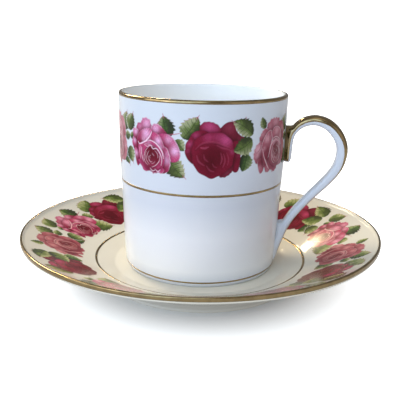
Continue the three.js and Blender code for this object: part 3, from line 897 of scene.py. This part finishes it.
def spray(name, canvas, place, material):
    """The painted part of a canvas as a skin on the china: place(x, y) gives a point in millimetres."""
    columns = canvas.x.shape[1]
    cover = canvas.cover
    corner = np.maximum.reduce([cover[:-1, :-1], cover[1:, :-1], cover[:-1, 1:], cover[1:, 1:]])
    kept = np.argwhere(corner > 0.002)
    first = kept[:, 0] * columns + kept[:, 1]
    quads = np.stack([first, first + 1, first + 1 + columns, first + columns], axis=1)
    used, faces = np.unique(quads, return_inverse=True)
    points = place(canvas.x.ravel()[used], canvas.y.ravel()[used])
    piece = mesh_object(name, points.tolist(), faces.reshape(-1, 4).tolist(), material)
    paint = piece.data.attributes.new("paint", "FLOAT_COLOR", "POINT")
    colours = np.ones((len(used), 4))
    colours[:, :3] = np.clip(canvas.rgb.reshape(-1, 3)[used], 0, 1)
    paint.data.foreach_set("color", colours.ravel())
    covered = piece.data.attributes.new("cover", "FLOAT", "POINT")
    covered.data.foreach_set("value", cover.ravel()[used])
    return piece


# ---- the strap handle ----
def strap_curve(stations):
    """Points and outward directions along the strap, evenly spaced."""
    line = curve(HANDLE_LINE, False, 24)
    run = np.r_[0, np.cumsum(np.hypot(*np.diff(line, axis=0).T))]
    shares = np.linspace(0, 1, stations)
    at = np.stack([np.interp(shares * run[-1], run, line[:, k]) for k in (0, 1)], axis=1)
    ahead = np.gradient(at, axis=0)
    ahead /= np.hypot(*ahead.T)[:, None]
    outward = np.stack([-ahead[:, 1], ahead[:, 0]], axis=1)
    return shares, at, outward


def strap_size(share):
    """Width and thickness of the strap at a share of its length."""
    root = max(0.0, 1 - share / 0.16)
    low = max(0.0, (share - 0.8) / 0.2)
    tip = math.sqrt(max(0.0, 1 - (1 - min(1.0, (share + 0.002) / 0.022)) ** 2))
    thick = float(np.interp(share, *zip(*HANDLE_THICK)))
    return (HANDLE_WIDTH + 1.2 * root + 1.4 * low) * (0.55 + 0.45 * tip), thick * (0.35 + 0.65 * tip)


def strap_point(turn, width, thick, lift=0.0):
    """A point of the strap's section: domed on its outward face, flatter on its inward one."""
    across, out = math.cos(turn), math.sin(turn)
    power = (0.72, 0.86) if out > 0 else (0.50, 0.62)
    x = math.copysign(abs(across) ** power[0], across) * (width / 2 + lift)
    return x, math.copysign(abs(out) ** power[1], out) * (thick / 2 + lift)


def loft(name, loops, material):
    n = len(loops[0])
    vertices = [v for loop in loops for v in loop]
    faces = []
    for i in range(len(loops) - 1):
        for j in range(n):
            a, b = i * n + j, i * n + (j + 1) % n
            faces.append((a, b, b + n, a + n))
    faces.append(tuple(reversed(range(n))))
    faces.append(tuple(range(len(vertices) - n, len(vertices))))
    return mesh_object(name, vertices, faces, material)


def strap_loops(stations, section):
    loops = []
    for share, at, outward in zip(*strap_curve(stations)):
        ring = section(share, at, outward)
        if ring is None:
            continue
        loop = []
        for across, out in ring:
            loop.append((at[0] + outward[0] * out, across, at[1] + outward[1] * out))
        loops.append(loop)
    return loops


def lower_web(share, at, outward, thick):
    """How far the strap's inward side runs on into the wall, at its lower end."""
    if share <= 0.5:
        return 0.0
    reach = (at[0] - WALL_AT_HANDLE[0]) / outward[0] + 0.6 - thick / 2
    return max(0.0, reach) * float(smooth(CROTCH_Z + 0.9, CROTCH_Z - 0.7, at[1]))


def upper_web(share, at, outward, thick):
    """How far its outward side runs on into the wall, at its upper end."""
    if share >= 0.25 or outward[0] >= -0.05:
        return 0.0
    web = max(0.0, (WALL_AT_HANDLE[1] - at[0]) / outward[0] + 0.9 - thick / 2)
    if outward[1] > 0.02:
        web = min(web, max(0.0, (ROOT_Z - at[1]) / outward[1] - thick / 2))
    return web


def strap_ring(turns, share, at, outward, lift=0.0):
    """The strap's section at one station, run out into the wall where its ends join it."""
    width, thick = strap_size(share)
    webs = lower_web(share, at, outward, thick), upper_web(share, at, outward, thick)
    ring = []
    for turn in turns:
        across, out = strap_point(turn, width, thick, lift)
        web = webs[0] if out < 0 else webs[1]
        narrow = 1 - 0.35 * math.sin(turn) * web / (web + 1.0) if out > 0 else 1.0
        ring.append((across * narrow, out * (1 + web / (thick / 2))))
    return ring


def handle_china(material):
    turns = [2 * math.pi * (k + 0.5) / STRAP_SIDES for k in range(STRAP_SIDES)]

    def section(*station):
        return strap_ring(turns, *station)

    piece = loft("handle_china", strap_loops(STRAP_STATIONS, section), material)
    attach(piece, "cup", "cup_china", "cup_handle")


def gilt_start(share):
    """How far down the strap's side the gold reaches, as an angle from its side."""
    return math.radians(float(np.interp(share, *zip(*GILT_EDGE))))


def handle_gold(material):
    def section(share, at, outward):
        if not HANDLE_GOLD_ENDS[0] <= share <= HANDLE_GOLD_ENDS[1]:
            return None
        start = gilt_start(share)
        turns = np.linspace(start, math.pi - start, GILT_SIDES)
        top = strap_ring(turns[1:-1], share, at, outward, FILM)
        under = strap_ring(turns, share, at, outward, -STRAP_TUCK)
        return [under[0]] + top + under[:0:-1]

    piece = loft("handle_gold", strap_loops(STRAP_STATIONS, section), material)
    attach(piece, "cup", "burnished_gold", "handle_gilding")


# ---- cup ----
def cup_line():
    """The cup's whole profile, from the middle of its foot out, up and back down inside."""
    return rounded(CUP_FOOT + CUP_OUTER + CUP_INNER)


def gilding(name, line, gold):
    """A gold film over a line of (radius, height), turned round the axis."""
    return turned(name, film_over(line), gold, closed=True)


def mark_lit_inside(body):
    """Store on the cup which of its points lie inside, where its china is given a whiter colour as
    painted light for the brighter light inside.
    """
    values = []
    for vertex in body.data.vertices:
        x, y, z = vertex.co
        within = math.hypot(x, y) < (RIM_R - 1.2) * MM
        values.append(float(smooth(10.0, 10.6, z / MM)) * within)
    body.data.attributes.new("inner", "FLOAT", "POINT").data.foreach_set("value", values)


def cup_china(white):
    body = turned("cup_china", cup_line(), white)
    mark_lit_inside(body)
    attach(body, "cup", "cup_china", "cup_body")


def cup_gilding(gold):
    """Gold over the lip, and the two lines round the wall."""
    side = rounded(CUP_OUTER)
    bottom = CUP_TOP - CUP_LIP_GOLD
    lip = [(radius_at(side, bottom), bottom)]
    lip += [p for p in cup_line() if p[0] > RIM_R - 1.3 and p[1] > CUP_TOP - 1.0]
    attach(gilding("cup_rim_gold", lip, gold), "cup", "burnished_gold", "cup_rim_gilding")
    for place, edges in CUP_GOLD_LINES.items():
        line = [(radius_at(side, z), z) for z in np.linspace(*edges, 5)]
        piece = gilding(f"cup_{place}_gold", line, gold)
        attach(piece, "cup", "burnished_gold", f"cup_{place}_gold_line")


def cup_roses(enamels):
    radii, heights = zip(*rounded(CUP_OUTER))
    canvases = painted(CUP_WHITE_COOL_LIT, *CUP_LIGHT_TINTS_AND_GROWTH)
    for i, (azimuth, kind) in enumerate(CUP_SPRAYS):
        lift = FILM + FILM_STEP * (i % 2)

        def place(x, y):
            r = np.interp(BAND_Z + y, heights, radii) + lift
            a = math.radians(azimuth) + x / CUP_R
            return np.stack([r * np.cos(a), r * np.sin(a), BAND_Z + y], axis=1)

        piece = spray(f"cup_rose_{i + 1}", canvases[kind], place, enamels)
        attach(piece, "cup", "rose_enamel", f"cup_rose_spray_{i + 1}")


# ---- saucer ----
def saucer_line():
    """The saucer's whole profile, from the middle of its well out over the lip and back below."""
    return rounded(SAUCER_TOP + SAUCER_EDGE + SAUCER_UNDER)


def saucer_top():
    """The upper surface alone, from the middle of the well to the lip."""
    profile = saucer_line()
    edge = next(i for i, p in enumerate(profile) if p[0] > 70.0)
    return profile[: edge + 1]


def warped(piece):
    """The firing left the saucer's rim a little high on one side and low on the other."""
    for vertex in piece.data.vertices:
        x, y, z = vertex.co
        share = max(0.0, (math.hypot(x, y) / MM - WARP_FROM) / (SAUCER_R - WARP_FROM))
        lean = math.cos(math.atan2(y, x) - math.radians(WARP_TOWARDS))
        vertex.co.z = z + WARP * MM * share * lean
    return piece


def saucer_china(white):
    body = warped(turned("saucer_china", saucer_line()[::-1], white))
    attach(body, "saucer", "saucer_china", "saucer_body")


def saucer_gilding(gold):
    """Gold over the lip, and the line at the edge of the well."""
    reach, height = SAUCER_LIP_GOLD
    lip = [p for p in saucer_line() if p[0] > reach and p[1] > height]
    rim = warped(gilding("saucer_rim_gold", lip[::-1], gold))
    attach(rim, "saucer", "burnished_gold", "saucer_rim_gilding")
    top = saucer_top()
    line = [(r, height_at(top, r)) for r in np.linspace(*SAUCER_GOLD_LINE, 5)]
    verge = gilding("saucer_verge_gold", line[::-1], gold)
    attach(verge, "saucer", "burnished_gold", "saucer_verge_gold_line")


def saucer_roses(enamels):
    radii, heights = zip(*saucer_top())
    (low_r, low_z), (high_r, high_z) = SAUCER_SLOPE
    slope = math.atan2(high_z - low_z, high_r - low_r)
    canvases = painted(SAUCER_WHITE_WARM_LIT, *SAUCER_LIGHT_TINTS_AND_GROWTH)
    for i, (azimuth, kind) in enumerate(SAUCER_SPRAYS):
        lift = FILM + FILM_STEP * (i % 2)

        def place(x, y):
            reach = BAND_R + y * math.cos(slope)
            r = np.hypot(x, reach)
            a = math.radians(azimuth) - np.arctan2(x, reach)
            z = np.interp(r, radii, heights) + lift * math.cos(slope)
            r = r - lift * math.sin(slope)
            return np.stack([r * np.cos(a), r * np.sin(a), z], axis=1)

        piece = spray(f"saucer_rose_{i + 1}", canvases[kind], place, enamels)
        attach(warped(piece), "saucer", "rose_enamel", f"saucer_rose_spray_{i + 1}")


# ---- stage ----
def add_floor():
    """One pale sheet: floor round the cup, curving up to a backdrop all round, its own light dimmed
    round the saucer as a painted contact shadow.
    """
    shader = Shader("floor")
    grain = shader.remap(shader.noise(6.0, 2.0), 0.3, 0.7, 0.0, 1.0)
    pale = shader.mix(grain, (0.84, 0.84, 0.84), (0.88, 0.88, 0.88))
    shader.feed("Base Color", pale)
    shader.set(Roughness=0.9, Emission_Color=(1.0, 1.0, 1.0, 1.0))
    place = shader.node("ShaderNodeNewGeometry")
    away = shader.node("ShaderNodeVectorMath", operation="LENGTH")
    shader.link(place.outputs["Position"], away.inputs[0])
    reach = [r * MM for r in GLOW_REACH]
    # painted contact shadow: the floor's light rises from dim under the saucer to bright beyond its rim
    near = shader.remap(away.outputs["Value"], *reach[:2], GLOW_IN_PAINTED_SHADOW, GLOW_NEAR)
    far = shader.remap(away.outputs["Value"], *reach[2:], 0.0, GLOW_FAR - GLOW_NEAR)
    glow = shader.node("ShaderNodeMath", operation="ADD")
    shader.link(near, glow.inputs[0])
    shader.link(far, glow.inputs[1])
    shader.feed("Emission Strength", glow.outputs["Value"])
    line = [(0.0, 0.0), (BACKDROP, 0.0)]
    for k in range(1, BACKDROP_STEPS + 1):
        bend = math.pi / 2 * k / BACKDROP_STEPS
        rise = BACKDROP_CURVE * (1 - math.cos(bend))
        line.append((BACKDROP + BACKDROP_CURVE * math.sin(bend), rise))
    line.append((BACKDROP + BACKDROP_CURVE, BACKDROP_HEIGHT))
    floor = turned("floor", line[::-1], shader.material)
    floor.visible_diffuse = False
    floor.visible_glossy = False


def add_bounce():
    """The light the table gives back: a dim ring flat on it round the saucer, unseen by the camera."""
    colour, strength = BOUNCE
    shader = Shader("bounce")
    shader.set(Base_Color=(0.0, 0.0, 0.0, 1.0))
    shader.set(Emission_Color=(*colour, 1.0), Emission_Strength=strength)
    vertices = []
    for k in range(BOUNCE_SIDES):
        turn = 2 * math.pi * k / BOUNCE_SIDES
        for reach in BOUNCE_REACH:
            vertices.append((reach * math.cos(turn), reach * math.sin(turn), BOUNCE_Z))
    count = len(vertices)
    faces = [(i, i + 1, (i + 3) % count, (i + 2) % count) for i in range(0, count, 2)]
    ring = mesh_object("bounce", vertices, faces, shader.material)
    ring.visible_camera = False
    ring.visible_shadow = False


def add_light(name, azimuth, elevation, distance, size, power, colour):
    """A soft box at an azimuth from the camera's side, aimed at the cup."""
    data = bpy.data.lights.new(name, "AREA")
    data.shape = "RECTANGLE"
    data.size, data.size_y = size
    data.energy = power
    data.color = colour
    light = bpy.data.objects.new(name, data)
    bpy.context.collection.objects.link(light)
    a, e = math.radians(VIEW_AZIMUTH + azimuth), math.radians(elevation)
    target = Vector((0, 0, 0.03))
    away = Vector((math.cos(a) * math.cos(e), math.sin(a) * math.cos(e), math.sin(e)))
    light.location = target + away * distance
    light.rotation_euler = (target - light.location).to_track_quat("-Z", "Y").to_euler()


def add_world(colour, strength):
    world = bpy.data.worlds.new("studio")
    world.use_nodes = True
    background = world.node_tree.nodes["Background"]
    background.inputs["Color"].default_value = (*colour, 1)
    background.inputs["Strength"].default_value = strength
    bpy.context.scene.world = world


def build():
    bpy.context.scene.view_settings.view_transform = "Standard"
    add_camera()
    add_world(*WORLD)
    for name, values in LIGHTS.items():
        add_light(name, *values)
    add_floor()
    add_bounce()
    cup_white = china("cup_china", CUP_WHITE_COOL_LIT, CUP_SHINE)
    gold = burnished_gold()
    cup_china(cup_white)
    cup_gilding(gold)
    cup_roses(enamel("cup_enamel", CUP_SHINE))
    saucer_china(china("saucer_china", SAUCER_WHITE_WARM_LIT, SAUCER_SHINE))
    saucer_gilding(gold)
    saucer_roses(enamel("saucer_enamel", SAUCER_SHINE))
    handle_china(cup_white)
    handle_gold(gold)


build()
